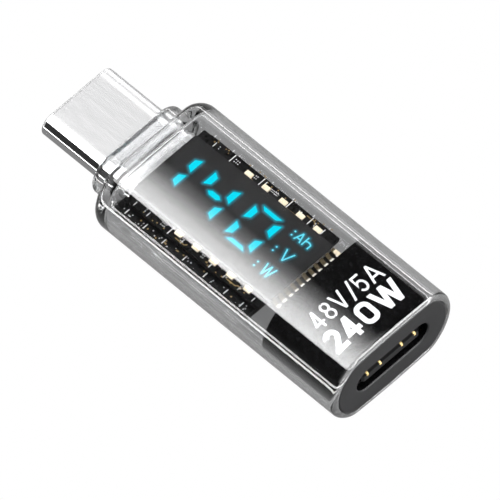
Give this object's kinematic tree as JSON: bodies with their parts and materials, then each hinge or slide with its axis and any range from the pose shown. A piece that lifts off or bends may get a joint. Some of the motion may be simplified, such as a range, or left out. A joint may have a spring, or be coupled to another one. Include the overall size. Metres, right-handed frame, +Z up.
{
  "type": "usb power meter",
  "caption": "Clear-bodied in-line USB-C adapter with a steel plug, a socket in a black end block and a small lit power display.",
  "frame": {"origin": "centre of the footprint on the lower flat face, midway between the plug's tip and the socket face", "axes": "+X from the plug to the socket, +Z up through the display, +Y across the width"},
  "size_m": [0.0362, 0.0138, 0.0081],
  "materials": {
    "clear_shell": "clear polycarbonate, polished",
    "black_gloss": "glossy black moulding, finely textured on the socket face",
    "polished_steel": "mirror polished",
    "spring_steel": "satin",
    "contact_gold": "gold plated",
    "black_insulator": "fine matte",
    "solder_mask": "black solder mask",
    "display_grey": "satin",
    "display_film": "tinted film",
    "tinned_pad": "pale ceramic with tinned ends",
    "chip_epoxy": "moulded epoxy",
    "ferrite": "sintered",
    "capacitor_tan": "sintered"
  },
  "bodies": {
    "meter": {"outer_shell": "clear_shell", "end_block": "black_gloss", "plug_shell": "polished_steel", "plug_housing": "black_insulator", "plug_midplate": "spring_steel", "plug_emi_spring_top": "spring_steel", "plug_emi_spring_bottom": "spring_steel", "plug_terminals_upper": "contact_gold", "plug_terminals_lower": "contact_gold", "receptacle_shell": "polished_steel", "receptacle_tongue": "black_insulator", "receptacle_midplate": "spring_steel", "receptacle_terminals_upper": "contact_gold", "receptacle_terminals_lower": "contact_gold", "main_pcb": "solder_mask", "display_board": "solder_mask", "board_spacer_near": "black_insulator", "board_spacer_far": "black_insulator", "display_case": "display_grey", "display_film": "display_film", "display_lead_01": "contact_gold", "display_lead_02": "contact_gold", "display_lead_03": "contact_gold", "display_lead_04": "contact_gold", "display_lead_05": "contact_gold", "display_lead_06": "contact_gold", "display_lead_07": "contact_gold", "display_lead_08": "contact_gold", "display_lead_09": "contact_gold", "display_lead_10": "contact_gold", "display_lead_11": "contact_gold", "chip_capacitor_near_1": "tinned_pad", "chip_capacitor_near_2": "tinned_pad", "chip_capacitor_near_3": "tinned_pad", "chip_capacitor_near_4": "tinned_pad", "chip_capacitor_near_5": "tinned_pad", "chip_capacitor_far_1": "tinned_pad", "chip_capacitor_far_2": "tinned_pad", "chip_capacitor_far_3": "tinned_pad", "chip_capacitor_far_4": "tinned_pad", "chip_capacitor_far_5": "tinned_pad", "controller_chip": "chip_epoxy", "emarker_chip": "chip_epoxy", "regulator_chip": "chip_epoxy", "buck_inductor": "ferrite", "sense_resistor": "ferrite", "timing_crystal": "spring_steel", "bulk_capacitor_1": "capacitor_tan", "bulk_capacitor_2": "capacitor_tan", "bulk_capacitor_3": "capacitor_tan"},
    "latch_left": {"plug_latch_left": "spring_steel"},
    "latch_right": {"plug_latch_right": "spring_steel"}
  },
  "joints": [
    {"name": "latch_left_flex", "type": "hinge", "parent": "meter", "child": "latch_left", "pos_m": [-0.01105, 0.00353, 0.00405], "axis": [0, 0, -1], "range_deg": [0, 1.6], "stiffness_Nm_per_rad": 0.02},
    {"name": "latch_right_flex", "type": "hinge", "parent": "meter", "child": "latch_right", "pos_m": [-0.01105, -0.00353, 0.00405], "axis": [0, 0, 1], "range_deg": [0, 1.6], "stiffness_Nm_per_rad": 0.02}
  ]
}
